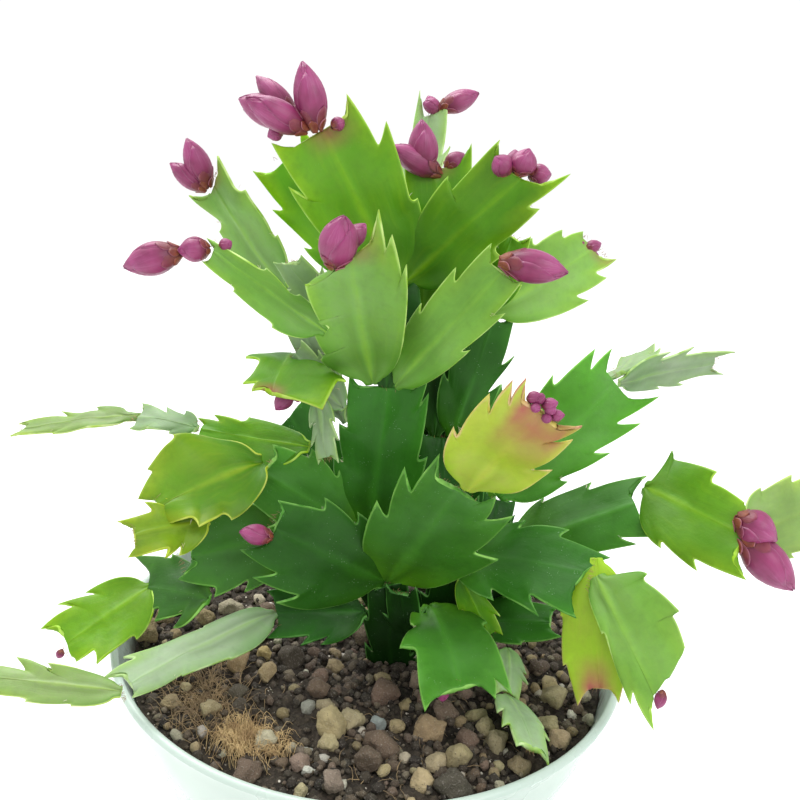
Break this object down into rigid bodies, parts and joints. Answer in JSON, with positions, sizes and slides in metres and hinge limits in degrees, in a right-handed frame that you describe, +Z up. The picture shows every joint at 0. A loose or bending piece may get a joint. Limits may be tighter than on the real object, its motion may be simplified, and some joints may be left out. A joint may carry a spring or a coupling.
{
  "type": "potted christmas cactus",
  "caption": "Young holiday cactus in bud: flat toothed stem segments jointed tip to tip, rooted in gritty soil in a round tapered plastic pot.",
  "frame": {"origin": "middle of the pot's flat underside", "axes": "+Z up through the pot's axis, -Y towards the front of the plant, +X to the right seen from the front"},
  "size_m": [0.2259, 0.14, 0.2299],
  "materials": {
    "pot": "smooth moulded plastic, white with a pale mint cast, soft gloss",
    "soil": "dark brown peat crumbs with grit, perlite and coir fibre, dull",
    "segment_old": "waxy deep green plant tissue with fine pale specks, satin",
    "segment_bright": "waxy bright green plant tissue with a lighter edge, satin",
    "segment_light": "waxy light green plant tissue, satin",
    "segment_pale": "pale grey-green underside of a segment, satin",
    "segment_yellow": "waxy yellow-green plant tissue with pink at the tip, satin",
    "bud": "magenta flower bud, darker wine red at the base, soft satin"
  },
  "bodies": {
    "root": {"pot": "pot", "potting_soil": "soil", "stem_front": "segment_old", "stem_right": "segment_old", "stem_back": "segment_old", "segment_front": "segment_old", "segment_front_yellow": "segment_yellow", "segment_front_left": "segment_old", "segment_low_left": "segment_old", "segment_over_rim": "segment_pale", "segment_far_low_left": "segment_bright", "segment_middle": "segment_old", "segment_middle_front": "segment_light", "segment_middle_right": "segment_light", "segment_middle_upper": "segment_old", "segment_top_left": "segment_bright", "segment_top_left_back": "segment_bright", "segment_top_right": "segment_bright", "segment_back": "segment_old", "segment_back_upper": "segment_old", "segment_back_right": "segment_old", "segment_top_middle": "segment_bright", "segment_top_back": "segment_pale", "segment_upper_right_small": "segment_bright", "segment_upper_right": "segment_light", "segment_left_arm": "segment_old", "segment_left_upper": "segment_light", "segment_left_arching": "segment_light", "segment_left_small": "segment_bright", "segment_right_arm": "segment_old", "segment_right_back": "segment_old", "segment_right_far_back": "segment_pale", "segment_right_far": "segment_pale", "segment_right_level": "segment_old", "segment_right_outer": "segment_bright", "segment_right_outermost": "segment_light", "segment_low_right": "segment_old", "segment_low_right_hanging": "segment_bright", "segment_low_right_yellow": "segment_yellow", "segment_low_right_inner": "segment_bright", "segment_front_low": "segment_bright", "segment_front_inner": "segment_pale", "segment_front_hanging": "segment_pale", "segment_left": "segment_old", "segment_left_bright": "segment_bright", "segment_left_far": "segment_pale", "segment_left_farthest": "segment_pale", "segment_left_yellow": "segment_yellow", "segment_left_lower": "segment_old", "segment_low_left_outer": "segment_old", "segment_low_left_bright": "segment_bright", "buds_top_left": "bud", "buds_left_upper": "bud", "buds_left_arching": "bud", "buds_middle_front": "bud", "buds_middle_right": "bud", "buds_top_middle": "bud", "buds_top_right": "bud", "buds_top_back": "bud", "buds_right_outer": "bud"}
  },
  "joints": []
}
